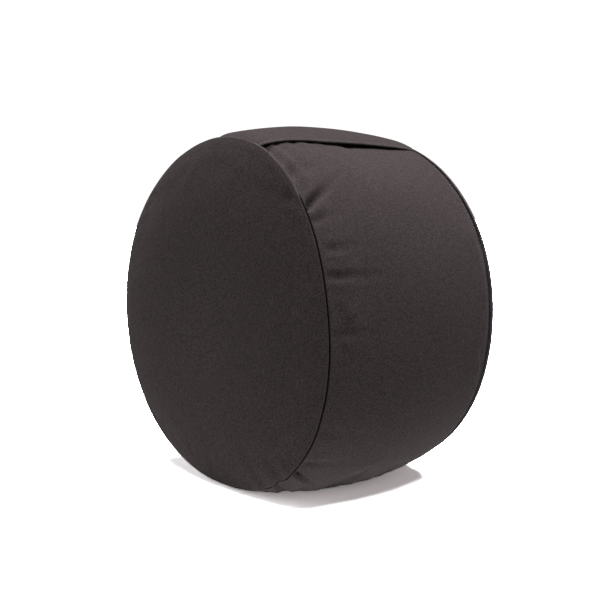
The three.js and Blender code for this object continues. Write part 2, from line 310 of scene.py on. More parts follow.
# A turned edge of the band: distance from its end and depth under the face, in mm.
EDGE = ((0.0, 5.0), (0.0, 3.0), (0.0, 1.6), (0.05, 0.95), (0.22, 0.5), (0.52, 0.2), (0.95, 0.05),
        (1.5, 0.0), (2.4, 0.0), (3.6, 0.0), (4.8, 0.0))
EDGE_REACH = 6 * MM


def band_piece(name, relief, rounds, lengths, depth, cloth, half, slot_width, material,
               hem=HEM_DEPTH, wander=True):
    """The band as one closed wall: out along its face, in round each turned edge, back inside."""
    angle = np.arange(rounds) * 2 * PI / rounds
    step, drift, gap = 0 * angle, 0 * angle, SEAM_GAP
    if wander:
        step, drift = seam_wander(angle)
        drift = drift - 0.7 * seam_ridge(angle) + 0.35 * MM * seam_open(angle)
        gap = seam_gap(angle)
    front = -half + gap / 2 + step
    back = half - SEAM_GAP / 2 - in_zip(angle) * (slot_width / 2 - SEAM_GAP / 2)
    rows = []  # (y, depth) of each station, over all angles
    for distance, sink in EDGE:
        rows.append((front + distance * MM, min(sink * MM, hem)))
    for t in np.linspace(0, 1, lengths):
        rows.append(((front + EDGE_REACH) * (1 - t) + (back - EDGE_REACH) * t, 0.0))
    for distance, sink in reversed(EDGE):
        rows.append((back - distance * MM, min(sink * MM, hem)))
    outer = len(rows)
    rows.append((back - cloth, hem))
    rows.append((back - cloth, cloth * 1.6))
    inner = max(lengths // 3, 6)
    for t in np.linspace(1, 0, inner):
        rows.append(((front + EDGE_REACH) * (1 - t) + (back - EDGE_REACH) * t, cloth))
    rows.append((front + cloth, cloth * 1.6))
    rows.append((front + cloth, hem))
    points = np.zeros((rounds, len(rows), 3))
    uv = np.zeros((rounds + 1, len(rows) + 1, 2))
    travelled = 0.0
    for j, (y, sink) in enumerate(rows):
        lift = relief(y, angle) if relief else 0.0
        near_front = np.exp(-((y + half) / (8 * MM)) ** 2)
        radius = band_radius(y, angle, depth) + (lift + drift * near_front) - sink
        points[:, j] = round_axis(radius, angle, y)
        points[:, j, 2] = np.maximum(points[:, j, 2], depth + (cloth if j >= outer else 0))
        if j:
            travelled += np.hypot(*(rows[j][k] - rows[j - 1][k] for k in (0, 1))).mean()
        uv[:rounds, j, 1] = travelled
    uv[:, :, 0] = (np.arange(rounds + 1) * 2 * PI * FRONT_RADIUS / rounds)[:, None]
    uv[rounds, :, 1] = uv[0, :, 1]
    uv[:, -1, 1] = travelled + cloth
    faces, corner_uv = close_grid(points, uv)
    piece = add_mesh(name, points.reshape(-1, 3), faces, corner_uv, material)
    if wander:
        sinks = np.zeros(len(rows))
        sinks[: len(EDGE)] = [sink for _, sink in EDGE]
        sinks[-3:] = hem / MM
        # Painted seam shade: the cloth is darkened where the turned edge sinks into the open front
        # seam.
        painted_seam_shade = np.outer(seam_open(angle), smoothstep(sinks, 0.04, 0.45))
        mark(piece, "painted_seam_shade", painted_seam_shade.reshape(-1))
    return turn_outward(piece)


def disc_places(steps):
    """A square grid laid onto a disc, so that no faces crowd to a point in its middle."""
    side = np.linspace(-1, 1, steps + 1)
    a, b = np.meshgrid(side, side, indexing="ij")
    wide = np.abs(a) >= np.abs(b)
    safe_a, safe_b = np.where(a == 0, 1, a), np.where(b == 0, 1, b)
    rho = np.where(wide, a, b)
    turn = np.where(wide, PI / 4 * b / safe_a, PI / 2 - PI / 4 * a / safe_b)
    turn = np.where((a == 0) & (b == 0), 0, turn)
    return rho * np.cos(turn), rho * np.sin(turn)


def disc_rim(steps):
    """Index of each rim vertex of the disc's grid, going round from -45 degrees."""
    n = steps
    rim = [(n, j) for j in range(n)] + [(n - i, n) for i in range(n)]
    rim += [(0, n - j) for j in range(n)] + [(i, 0) for i in range(n)]
    return np.array([i * (n + 1) + j for i, j in rim])


def disc_faces(steps):
    """The four corners of each face of the disc's grid."""
    n = steps + 1
    i, j = np.meshgrid(np.arange(steps), np.arange(steps), indexing="ij")
    cells = np.stack([i * n + j, (i + 1) * n + j, (i + 1) * n + j + 1, i * n + j + 1], -1)
    return cells.reshape(-1, 4)


# A panel's turned edge: distance in from its rim and height over the seam, in mm.
RIM_FRONT = ((5.0, 3.25), (3.6, 2.6), (2.3, 2.02), (1.3, 1.62), (0.6, 1.32), (0.2, 1.05),
             (0.05, 0.8), (0.12, 0.6), (0.35, 0.48), (0.8, 0.45), (2.5, 0.45), (5.0, 0.45))
RIM_BACK = ((5.0, 4.8), (3.4, 4.45), (2.1, 3.9), (1.1, 3.2), (0.45, 2.5), (0.12, 1.8), (0.0, 1.15),
            (0.1, 0.6), (0.4, 0.25), (0.9, 0.15), (2.5, 0.15), (5.0, 0.15))
RIM_REACH = 7 * MM
BACK_LIP = 1.6 * MM  # how far the back panel stands off the zip before its dome begins


def panel_piece(name, side, dome, rim_shape, relief, steps, depth, cloth, half, slot_width,
                material):
    """A round panel as one closed wall: face, turned edge, and back across the inside."""
    front = side < 0
    rounds = 4 * steps
    seam = seam_radius if front else zip_radius
    lip = 0 if front else BACK_LIP
    a, b = disc_places(steps)
    turn, spread = np.arctan2(b, a), np.hypot(a, b)
    rim_turn = -PI / 4 + np.arange(rounds) * 2 * PI / rounds

    def opened(angle):
        return 0 * angle if front else in_zip(angle) * (slot_width / 2 - SEAM_GAP / 2)

    def wander(angle):
        return seam_wander(angle) if front else (0 * angle, 0 * angle)

    step, drift = wander(rim_turn)
    drift = drift + (seam_ridge(rim_turn) if front else 0.5 * MM * in_zip(rim_turn))
    closed = 1 - seam_open(rim_turn) if front else 0 * rim_turn

    def disc(sink):
        rim = settle(seam(turn) - depth, turn, depth)
        share = spread * (1 - RIM_REACH / rim)
        lift = relief(share, turn) if relief else 0.0
        height = lip + (dome - lip) * (1 - share**DOME_POWER)
        y = side * (half + height + lift - sink)
        pull = side * (opened(turn) * spread**12) + wander(turn)[0] * spread**12
        return round_axis(share * rim, turn, y + pull).reshape(-1, 3)

    def ring(inward, out):
        rim = settle(seam(rim_turn) - depth, rim_turn, depth) + drift
        fade = min(1.0, max(0.0, inward / RIM_REACH))
        lift = relief((rim - inward) / rim, rim_turn) * fade if relief else 0.0
        tight = 1 - 0.6 * closed * (out < 1.1 * MM)
        y = side * (half + out * tight + lift + opened(rim_turn)) + step
        return round_axis(rim - inward, rim_turn, y)

    face, back = disc(0.0), disc(cloth)
    rings = [ring(inward * MM, out * MM) for inward, out in rim_shape]
    # Two more rings bring the turned edge back up behind the face.
    rings.append(ring(rim_shape[-1][0] * MM, (0.15 + CLOTH / MM * 0.6) * MM))
    rings.append(ring(3.4 * MM, rim_shape[0][1] * MM * (0.42 if front else 0.3)))
    points = np.concatenate([face, *rings, back])
    points[:, 2] = np.maximum(points[:, 2], depth)
    behind = len(face) + len(rings) * rounds
    loops = [disc_rim(steps)]
    loops += [len(face) + k * rounds + np.arange(rounds) for k in range(len(rings))]
    loops.append(behind + disc_rim(steps))
    belts = [np.stack([inner, outer, np.roll(outer, -1), np.roll(inner, -1)], -1)
             for inner, outer in zip(loops, loops[1:])]
    # Seen from outside, the front panel's faces run the other way round from the back panel's.
    order = -1 if front else 1
    faces = np.concatenate([disc_faces(steps)[:, ::order], *(belt[:, ::order] for belt in belts),
                            (disc_faces(steps) + behind)[:, ::-order]])
    uv = np.stack([points[:, 0], points[:, 2]], -1)
    piece = add_mesh(name, points, faces, uv[faces].reshape(-1, 2), material)
    if front:
        inward = [row[0] for row in rim_shape]
        peak = inward.index(min(inward))
        # Painted seam shade: the turned edge is darkened where it runs back into the open front
        # seam.
        deep = [smoothstep(x, 0.05, 0.45) if k > peak else 0 for k, x in enumerate(inward)]
        painted_seam_shade = [value * (1 - closed) for value in deep + [1, 0]]
        mark(piece, "painted_seam_shade", np.concatenate([np.zeros(len(face)), *painted_seam_shade, np.zeros(len(back))]))
    return turn_outward(piece)


# ---- Slack in the cloth, from a cloth simulation of the whole cover ----
SLACK_CAP = 2.2 * MM
SLACK_LENGTHS = 32  # steps along the band in the simulation
SLACK_FRAMES = 20
SLACK_BLUR = 14  # passes; what is left after the blur is taken off is the slack


def cubic(field, u, v, round_and_round):
    """Smooth values between the points of a coarse grid."""
    rows, columns = field.shape
    i, j = np.floor(u).astype(int), np.floor(v).astype(int)
    s, t = u - i, v - j

    def taps(x):
        return (0.5 * (-x + 2 * x**2 - x**3), 0.5 * (2 - 5 * x**2 + 3 * x**3),
                0.5 * (x + 4 * x**2 - 3 * x**3), 0.5 * (x**3 - x**2))

    total = 0.0
    for di, wi in enumerate(taps(s)):
        ii = (i + di - 1) % rows if round_and_round else np.clip(i + di - 1, 0, rows - 1)
        for dj, wj in enumerate(taps(t)):
            total = total + wi * wj * field[ii, np.clip(j + dj - 1, 0, columns - 1)]
    return total


def blur(field, passes, round_and_round):
    for _ in range(passes):
        if round_and_round:
            padded = np.concatenate([field[-1:], field, field[:1]], 0)
        else:
            padded = np.pad(field, ((1, 1), (0, 0)), mode="edge")
        field = (padded[:-2] + 2 * padded[1:-1] + padded[2:]) / 4
        padded = np.pad(field, ((0, 0), (1, 1)), mode="edge")
        field = (padded[:, :-2] + 2 * padded[:, 1:-1] + padded[:, 2:]) / 4
    return field


def simulate_slack():
    """Blows up a cover cut a little too big for its seams, and keeps what wrinkles that makes."""
    rounds, lengths = ROUND // COARSE, SLACK_LENGTHS
    steps = rounds // 4
    angle = np.arange(rounds) * 2 * PI / rounds
    y = np.linspace(-HALF_LENGTH, HALF_LENGTH, lengths + 1)
    grid_angle, grid_y = np.meshgrid(angle, y, indexing="ij")
    radius = band_radius(grid_y, grid_angle)
    points = [round_axis(radius, grid_angle, grid_y).reshape(-1, 3)]
    i, j = np.meshgrid(np.arange(rounds), np.arange(lengths), indexing="ij")
    i2 = (i + 1) % rounds
    row = lengths + 1
    faces = np.stack([i * row + j, i * row + j + 1, i2 * row + j + 1, i2 * row + j], -1)
    faces = [faces.reshape(-1, 4)]
    a, b = disc_places(steps)
    turn, share = np.arctan2(b, a), np.hypot(a, b)
    n = steps + 1
    discs = {}
    for side, seam, dome in ((-1, seam_radius, FRONT_DOME), (1, zip_radius, BACK_DOME)):
        rim = settle(seam(turn), turn)
        face_y = side * (HALF_LENGTH + dome * (1 - share**DOME_POWER))
        place = round_axis(share * rim, turn, face_y).reshape(-1, 3)
        index = np.full(n * n, -1)
        ring = (np.arange(rounds) - rounds // 8) % rounds
        index[disc_rim(steps)] = ring * row + (0 if side < 0 else lengths)
        free = np.where(index < 0)[0]
        index[free] = sum(len(p) for p in points) + np.arange(len(free))
        points.append(place[free])
        faces.append(index[disc_faces(steps)][:, ::side])
        discs[side] = index
    points, faces = np.concatenate(points), np.concatenate(faces)
    mesh = bpy.data.meshes.new("slack_cover")
    mesh.from_pydata([tuple(p) for p in points], [], [tuple(int(k) for k in f) for f in faces])
    cover = bpy.data.objects.new("slack_cover", mesh)
    bpy.context.scene.collection.objects.link(cover)
    turn_outward(cover)
    sewn = cover.vertex_groups.new(name="sewn")
    held = [int(k) for k in range(rounds * row) if k % row in (0, lengths)]
    held += [int(k) for k in np.where(points[:, 2] < 1.5 * MM)[0]]
    sewn.add(held, 1.0, "REPLACE")
    cloth = cover.modifiers.new("Cloth", "CLOTH")
    settings = cloth.settings
    settings.quality = 6
    settings.mass = 0.25
    settings.tension_stiffness = settings.compression_stiffness = 18
    settings.shear_stiffness = 6
    settings.bending_stiffness = 0.35
    settings.use_pressure = True
    settings.uniform_pressure_force = 4
    settings.shrink_min = -0.03
    settings.vertex_group_mass = "sewn"
    settings.effector_weights.gravity = 0
    scene = bpy.context.scene
    for number in range(SLACK_FRAMES):
        scene.frame_set(number + 1)
    shape = cover.evaluated_get(bpy.context.evaluated_depsgraph_get()).to_mesh()
    flat = np.empty(len(shape.vertices) * 3)
    shape.vertices.foreach_get("co", flat)
    moved = flat.reshape(-1, 3)
    cover.modifiers.remove(cloth)
    bpy.data.objects.remove(cover)
    bpy.data.meshes.remove(mesh)
    scene.frame_set(1)
    at = moved[: rounds * row].reshape(rounds, row, 3)
    grown = np.hypot(at[..., 0], at[..., 2] - AXIS_HEIGHT) - radius
    result = {0: np.clip(grown - blur(grown, SLACK_BLUR, True), -SLACK_CAP, SLACK_CAP)}
    for side, index in discs.items():
        out = (side * (moved[index, 1] - points[index, 1])).reshape(n, n)
        result[side] = np.clip(out - blur(out, SLACK_BLUR, False), -SLACK_CAP, SLACK_CAP)
    return result


def square_place(share, angle):
    """Where a point of the disc lies in its square grid, each side from -1 to 1."""
    turned = (angle + PI / 4) % (2 * PI) - PI / 4
    quarter = np.floor((turned + PI / 4) / (PI / 2)).astype(int) % 4
    along = (turned - quarter * PI / 2) * 4 / PI * share
    a = np.choose(quarter, [share, -along, -share, along])
    b = np.choose(quarter, [along, share, -along, -share])
    return a, b


SLACK = simulate_slack()


def band_slack(y, angle):
    if SLACK is None:
        return 0.0
    field = SLACK[0]
    u = (angle % (2 * PI)) / (2 * PI) * field.shape[0]
    v = np.clip((y / HALF_LENGTH + 1) / 2, 0, 1) * (field.shape[1] - 1)
    return cubic(field, u, v, True)


def panel_slack(side, share, angle):
    if SLACK is None:
        return 0.0
    field = SLACK[side]
    a, b = square_place(share, angle)
    size = field.shape[0] - 1
    return cubic(field, (a + 1) / 2 * size, (b + 1) / 2 * size, False)


# ---- Materials ----
class Graph:
    """Short words for building one material's nodes."""

    def __init__(self, name):
        self.material = bpy.data.materials.new(name)
        self.material.use_nodes = True
        self.tree = self.material.node_tree
        self.tree.nodes.clear()
        self.shader = self.add("ShaderNodeBsdfPrincipled")
        output = self.add("ShaderNodeOutputMaterial")
        self.tree.links.new(self.shader.outputs["BSDF"], output.inputs["Surface"])

    def add(self, kind, **settings):
        node = self.tree.nodes.new(kind)
        for key, value in settings.items():
            setattr(node, key, value)
        return node

    def put(self, socket, value):
        if isinstance(value, bpy.types.NodeSocket):
            self.tree.links.new(value, socket)
        else:
            socket.default_value = value

    def math(self, operation, a, b=None, c=None):
        node = self.add("ShaderNodeMath", operation=operation)
        for socket, value in zip(node.inputs, (a, b, c)):
            if value is not None:
                self.put(socket, value)
        return node.outputs[0]

    def place(self, source="Object", scale=(1, 1, 1)):
        if source == "Cut":
            start = self.add("ShaderNodeUVMap", uv_map="Cut").outputs[0]
        else:
            start = self.add("ShaderNodeTexCoord").outputs["Object"]
        mapping = self.add("ShaderNodeMapping")
        self.put(mapping.inputs["Vector"], start)
        mapping.inputs["Scale"].default_value = scale
        return mapping.outputs[0]

    def noise(self, vector, scale, detail=2.0, rough=0.5):
        node = self.add("ShaderNodeTexNoise")
        self.put(node.inputs["Vector"], vector)
        node.inputs["Scale"].default_value = scale
        node.inputs["Detail"].default_value = detail
        node.inputs["Roughness"].default_value = rough
        return node.outputs["Fac"]

    def mix(self, share, a, b):
        node = self.add("ShaderNodeMix", data_type="RGBA")
        for key, value in (("Factor", share), ("A", a), ("B", b)):
            socket = next(s for s in node.inputs if s.name == key and (
                s.type == "RGBA" or (key == "Factor" and s.type == "VALUE")) and s.enabled)
            self.put(socket, (*value, 1) if isinstance(value, tuple) and len(value) == 3 else value)
        return next(s for s in node.outputs if s.type == "RGBA")

    def ramp(self, value, low, high, to_low=0.0, to_high=1.0):
        node = self.add("ShaderNodeMapRange")
        for key, item in (("Value", value), ("From Min", low), ("From Max", high),
                          ("To Min", to_low), ("To Max", to_high)):
            self.put(node.inputs[key], item)
        return node.outputs[0]

    def bump(self, height, distance, strength=1.0, under=None):
        node = self.add("ShaderNodeBump")
        self.put(node.inputs["Height"], height)
        node.inputs["Distance"].default_value = distance
        node.inputs["Strength"].default_value = strength
        if under is not None:
            self.put(node.inputs["Normal"], under)
        return node.outputs[0]

    def finish(self, colour, roughness, normal=None, **fixed):
        self.put(self.shader.inputs["Base Color"],
                 (*colour, 1) if isinstance(colour, tuple) else colour)
        self.put(self.shader.inputs["Roughness"], roughness)
        if normal is not None:
            self.put(self.shader.inputs["Normal"], normal)
        for key, value in fixed.items():
            self.shader.inputs[key.replace("_", " ")].default_value = value
        return self.material


def weave(graph, vector, yarn, repeat, rib):
    """Height of a twill: each warp yarn floats over repeat - 1 picks and moves on by one, which
    piles the yarns up into slanting ribs."""
    scaled = graph.add("ShaderNodeVectorMath", operation="SCALE")
    graph.put(scaled.inputs[0], vector)
    scaled.inputs["Scale"].default_value = 1 / yarn
    parts = graph.add("ShaderNodeSeparateXYZ")
    graph.put(parts.inputs[0], scaled.outputs[0])
    across, along = parts.outputs[0], parts.outputs[1]
    place = graph.math("ADD", graph.math("FLOOR", along), graph.math("FLOOR", across))
    phase = graph.math("FLOORED_MODULO", place, float(repeat))
    weft_up = graph.math("COMPARE", phase, 0.0, 0.4)
    warp = graph.math("SINE", graph.math("MULTIPLY", graph.math("FRACT", across), PI))
    weft = graph.math("SINE", graph.math("MULTIPLY", graph.math("FRACT", along), PI))
    weft_low = graph.math("MULTIPLY", weft, 0.55)
    warp_down = graph.math("SUBTRACT", 1.0, weft_up)
    height = graph.math("ADD", graph.math("MULTIPLY", warp, warp_down),
                        graph.math("MULTIPLY", weft_low, weft_up))
    slant = graph.math("MULTIPLY", graph.math("ADD", along, across), 2 * PI / repeat)
    ridge = graph.math("MULTIPLY_ADD", graph.math("SINE", slant), rib / 2, rib / 2)
    return graph.math("MULTIPLY_ADD", height, 1 - rib, ridge)


def woven_material(name, light, dark, yarn, repeat, relief, rib, fade=None):
    """Cloth that follows the cut of its piece; fade is its paler colour where an edge wears from
    rubbing and also a painted highlight on the zip's rim and the seam's ridge, and the marked seam
    crease gets painted shade.
    """
    graph = Graph(name)
    height = weave(graph, graph.place("Cut"), yarn, repeat, rib)
    flat = graph.place("Object")
    slub = graph.noise(graph.place("Cut", scale=(1, 0.12, 1)), 900, 1.0)
    cloudy = graph.noise(flat, 14, 3.0, 0.55)
    heather = graph.noise(flat, 800, 1.0, 0.6)
    fibre = graph.noise(flat, 2600, 2.0, 0.6)
    tone = graph.math("MULTIPLY_ADD", height, 0.75, -0.17)
    for texture, amount in ((slub, 0.35), (cloudy, 0.16), (heather, 1.5), (fibre, 0.3)):
        tone = graph.math("ADD", tone, graph.math("MULTIPLY_ADD", texture, amount, -amount / 2))
    tone = graph.math("ADD", tone, 0.3)
    colour = graph.mix(graph.ramp(tone, 0.0, 1.0), dark, light)
    if fade is not None:
        # Paler where an edge wears, and a painted highlight on the zip's rim and the seam's ridge.
        wear_and_highlight = graph.add("ShaderNodeAttribute", attribute_name="wear_and_highlight").outputs["Fac"]
        patchy = graph.ramp(graph.noise(flat, 90, 3.0), 0.3, 0.6, 0.35, 1.0)
        colour = graph.mix(graph.math("MULTIPLY", wear_and_highlight, patchy), colour, fade)
        # Painted shade: much darker where the seam's crease is marked.
        painted_seam_shade = graph.add("ShaderNodeAttribute", attribute_name="painted_seam_shade").outputs["Fac"]
        colour = graph.mix(painted_seam_shade, colour, tuple(0.3 * c for c in dark))
    soft = graph.bump(cloudy, 1.6 * MM, 0.35)
    normal = graph.bump(graph.math("MULTIPLY_ADD", fibre, 0.35, height), relief, 1.0, soft)
    roughness = graph.ramp(tone, 0.0, 1.0, 0.97, 0.86)
    return graph.finish(colour, roughness, normal, Sheen_Weight=0.03, Sheen_Roughness=0.45,
                        Sheen_Tint=(0.95, 0.82, 0.82, 1.0), Specular_IOR_Level=0.03)


def metal_material(name, colour, bright):
    graph = Graph(name)
    flat = graph.place("Object")
    rub = graph.noise(flat, 700, 4.0, 0.65)
    patch = graph.ramp(rub, 0.52, 0.74)
    shade = graph.mix(patch, colour, bright)
    fine = graph.noise(graph.place("Object", scale=(1, 4, 1)), 3000, 2.0)
    roughness = graph.ramp(rub, 0.3, 0.7, 0.28, 0.46)
    return graph.finish(shade, roughness, graph.bump(fine, 0.02 * MM, 0.5), Metallic=0.85)


def nylon_material(name, dark, light):
    graph = Graph(name)
    flat = graph.place("Object")
    tint = graph.noise(flat, 260, 3.0)
    colour = graph.mix(tint, dark, light)
    fine = graph.noise(flat, 4200, 2.0)
    return graph.finish(colour, graph.ramp(tint, 0.3, 0.7, 0.3, 0.42),
                        graph.bump(fine, 0.03 * MM, 0.5), Specular_IOR_Level=0.5)


def thread_material(name, dark, light):
    graph = Graph(name)
    twist = graph.noise(graph.place("Object"), 2400, 2.0)
    colour = graph.mix(twist, dark, light)
    return graph.finish(colour, 0.75, graph.bump(twist, 0.08 * MM, 0.8), Sheen_Weight=0.2)


def hull_material(name):
    graph = Graph(name)
    flat = graph.place("Object")
    cells = graph.add("ShaderNodeTexVoronoi")
    graph.put(cells.inputs["Vector"], flat)
    cells.inputs["Scale"].default_value = 240
    parts = graph.add("ShaderNodeSeparateXYZ")
    graph.put(parts.inputs[0], cells.outputs["Color"])
    colour = graph.mix(parts.outputs[0], (0.05, 0.028, 0.015), (0.2, 0.12, 0.065))
    return graph.finish(colour, 0.8, graph.bump(cells.outputs["Distance"], 1.2 * MM, 0.9))


# The cover's fade colour serves for edge wear and for the painted highlights on the zip's rim and
# the seam's ridge.
COVER = woven_material("charcoal_cotton_twill", light=(0.047, 0.0372, 0.0376),
                       dark=(0.0145, 0.0115, 0.0118), yarn=0.85 * MM, repeat=3,
                       relief=0.24 * MM, rib=0.5, fade=(0.085, 0.072, 0.075))
STRAP = woven_material("strap_cotton_twill", light=(0.044, 0.0348, 0.0357),
                       dark=(0.0150, 0.0121, 0.0124), yarn=0.85 * MM, repeat=3,
                       relief=0.24 * MM, rib=0.5, fade=(0.070, 0.058, 0.060))
TAPE = woven_material("navy_zip_tape", light=(0.020, 0.025, 0.058), dark=(0.007, 0.009, 0.024),
                      yarn=0.45 * MM, repeat=2, relief=0.12 * MM, rib=0.1)
MUSLIN = woven_material("unbleached_muslin", light=(0.62, 0.56, 0.45), dark=(0.42, 0.37, 0.29),
                        yarn=0.5 * MM, repeat=2, relief=0.12 * MM, rib=0.0)
HULLS = hull_material("buckwheat_hulls")
COIL = nylon_material("navy_nylon_coil", (0.009, 0.012, 0.034), (0.018, 0.024, 0.062))
METAL = metal_material("dark_lacquered_zinc", (0.028, 0.028, 0.033), (0.09, 0.09, 0.1))
THREAD = thread_material("charcoal_thread", (0.02, 0.017, 0.017), (0.055, 0.048, 0.048))


# ---- Camera and light ----
CAMERA_AZIMUTH, CAMERA_ELEVATION = math.radians(52.45), math.radians(6.65)
CAMERA_DISTANCE = 1.059
LENS_TO_FRAME = 1195.7 / 600  # length of the lens over the width of the frame
AIM = Vector((-0.0004, -0.0006, AXIS_HEIGHT + 0.0071))
# Softboxes: strength, spread, azimuth and height in degrees.
SOFTBOXES = {"overhead_softbox": (10.9, 60, 175, 81), "left_softbox": (0.8, 60, -40, 12)}
AIR_FILL, AIR_SEEN = 0.03, 1.05
FLOOR_COLOURS = ((6.0, 6.15, 6.15), (6.4, 6.55, 6.55))
FLOOR_HAZE = 0.12
# Light thrown back up: from and to a distance from the middle, and the strength at each.
FLOOR_GLOW = (0.22, 0.75, 1.8, 0.85)
# The cushion keeps it off an ellipse of this size: from and to a share of it, and how much is left.
FLOOR_SHADED, FLOOR_UNDER = (0.10, 0.12), (0.6, 1.05, 0.05, 1.0)


def direction(azimuth, elevation):
    """From the cushion towards a place; azimuth 0 is straight in front of the plain panel."""
    return Vector((math.sin(azimuth) * math.cos(elevation),
                   -math.cos(azimuth) * math.cos(elevation), math.sin(elevation)))


def add_camera():
    data = bpy.data.cameras.new("studio_camera")
    data.sensor_width = 36
    data.lens = LENS_TO_FRAME * data.sensor_width
    data.clip_start, data.clip_end = 0.01, 50
    camera = bpy.data.objects.new("studio_camera", data)
    bpy.context.scene.collection.objects.link(camera)
    away = direction(CAMERA_AZIMUTH, CAMERA_ELEVATION)
    place = Vector((0, 0, AXIS_HEIGHT)) + away * CAMERA_DISTANCE
    camera.location = place
    camera.rotation_euler = (AIM - place).to_track_quat("-Z", "Y").to_euler()
    bpy.context.scene.camera = camera


def add_sun(name, strength, spread, azimuth, elevation):
    data = bpy.data.lights.new(name, "SUN")
    data.energy, data.angle = strength, math.radians(spread)
    lamp = bpy.data.objects.new(name, data)
    bpy.context.scene.collection.objects.link(lamp)
    source = direction(math.radians(azimuth), math.radians(elevation))
    lamp.rotation_euler = (-source).to_track_quat("-Z", "Y").to_euler()


def add_air():
    """Even white air round the studio: bright where it is seen, faint as light."""
    world = bpy.data.worlds.new("studio_air")
    bpy.context.scene.world = world
    world.use_nodes = True
    tree = world.node_tree
    tree.nodes.clear()
    path = tree.nodes.new("ShaderNodeLightPath")
    blend = tree.nodes.new("ShaderNodeMixShader")
    tree.links.new(path.outputs["Is Camera Ray"], blend.inputs[0])
    for socket, strength in ((1, AIR_FILL), (2, AIR_SEEN)):
        air = tree.nodes.new("ShaderNodeBackground")
        air.inputs["Color"].default_value = (1, 1, 1, 1)
        air.inputs["Strength"].default_value = strength
        tree.links.new(air.outputs[0], blend.inputs[socket])
    output = tree.nodes.new("ShaderNodeOutputWorld")
    tree.links.new(blend.outputs[0], output.inputs["Surface"])


def add_floor():
    """Exposed for the dark cloth, the floor burns out to white all but where the cushion shades
    it, and throws an even light back up."""
    clear_selection()
    bpy.ops.mesh.primitive_plane_add(size=8, location=(0, 0, 0))
    floor = bpy.context.object
    floor.name = "studio_floor"
    graph = Graph("white_studio_floor")
    speck = graph.noise(graph.place("Object"), 6, 2.0)
    seen = graph.add("ShaderNodeBsdfDiffuse")
    graph.put(seen.inputs["Color"], graph.mix(speck, *FLOOR_COLOURS))
    haze = graph.add("ShaderNodeEmission")
    haze.inputs["Strength"].default_value = FLOOR_HAZE
    shaded = graph.add("ShaderNodeAddShader")
    graph.put(shaded.inputs[0], seen.outputs[0])
    graph.put(shaded.inputs[1], haze.outputs[0])
    wide, long = FLOOR_SHADED
    strengths = []
    for scale, steps in (((1, 1, 1), FLOOR_GLOW), ((1 / wide, 1 / long, 1), FLOOR_UNDER)):
        away = graph.add("ShaderNodeVectorMath", operation="LENGTH")
        graph.put(away.inputs[0], graph.place("Object", scale=scale))
        strengths.append(graph.ramp(away.outputs["Value"], *steps))
    bounce = graph.add("ShaderNodeEmission")
    graph.put(bounce.inputs["Strength"], graph.math("MULTIPLY", *strengths))
    surface = graph.add("ShaderNodeMixShader")
    graph.put(surface.inputs[0], graph.add("ShaderNodeLightPath").outputs["Is Camera Ray"])
    graph.put(surface.inputs[1], bounce.outputs[0])
    graph.put(surface.inputs[2], shaded.outputs[0])
    output = next(n for n in graph.tree.nodes if n.type == "OUTPUT_MATERIAL")
    graph.tree.nodes.remove(graph.shader)
    graph.tree.links.new(surface.outputs[0], output.inputs["Surface"])
    floor.data.materials.append(graph.material)


def add_studio():
    scene = bpy.context.scene
    scene.view_settings.view_transform = "Standard"
    scene.view_settings.look = "None"
    for name, setting in SOFTBOXES.items():
        add_sun(name, *setting)
    add_air()
    add_floor()


add_camera()
add_studio()


# ---- Cover ----
def piece_points(piece):
    flat = np.empty(len(piece.data.vertices) * 3, dtype=np.float32)
    piece.data.vertices.foreach_get("co", flat)
    return flat.reshape(-1, 3)


def panel_relief(side):
    def relief(share, angle):
        x, z = share * np.cos(angle), share * np.sin(angle)
        lumps = (0.9 * np.sin(3.1 * x + 0.7) * np.sin(2.7 * z - 0.4)
                 + 0.5 * np.sin(5.3 * x - 2.9 * z))
        pucker = hash_wave(angle + 0.2 * share, 23 + side, (23, 37, 52, 71), 0.85)
        rim = np.exp(-((1 - share) / 0.07)) * (1 - np.exp(-(1 - share) / 0.012))
        total = 0.5 * lumps * (1 - share**4) + 0.4 * pucker * rim
        return total * MM + 0.5 * share**5 * panel_slack(side, share, angle)
    return relief


# Paler edges: how far the paler colour reaches from the seam, and how strong it is. At the zip and
# on the seam's ridge beside the strap it is a painted highlight; on the rest of the front seam it
# is wear from rubbing.
ZIP_HIGHLIGHT_REACH = {"side_band": 1.6 * MM, "front_panel": 1.6 * MM, "back_panel": 2.9 * MM}
FRONT_RUB_AND_HIGHLIGHT_REACH = 1.3 * MM
ZIP_HIGHLIGHT, FRONT_WEAR, RIDGE_HIGHLIGHT = 0.9, 0.2, 0.6


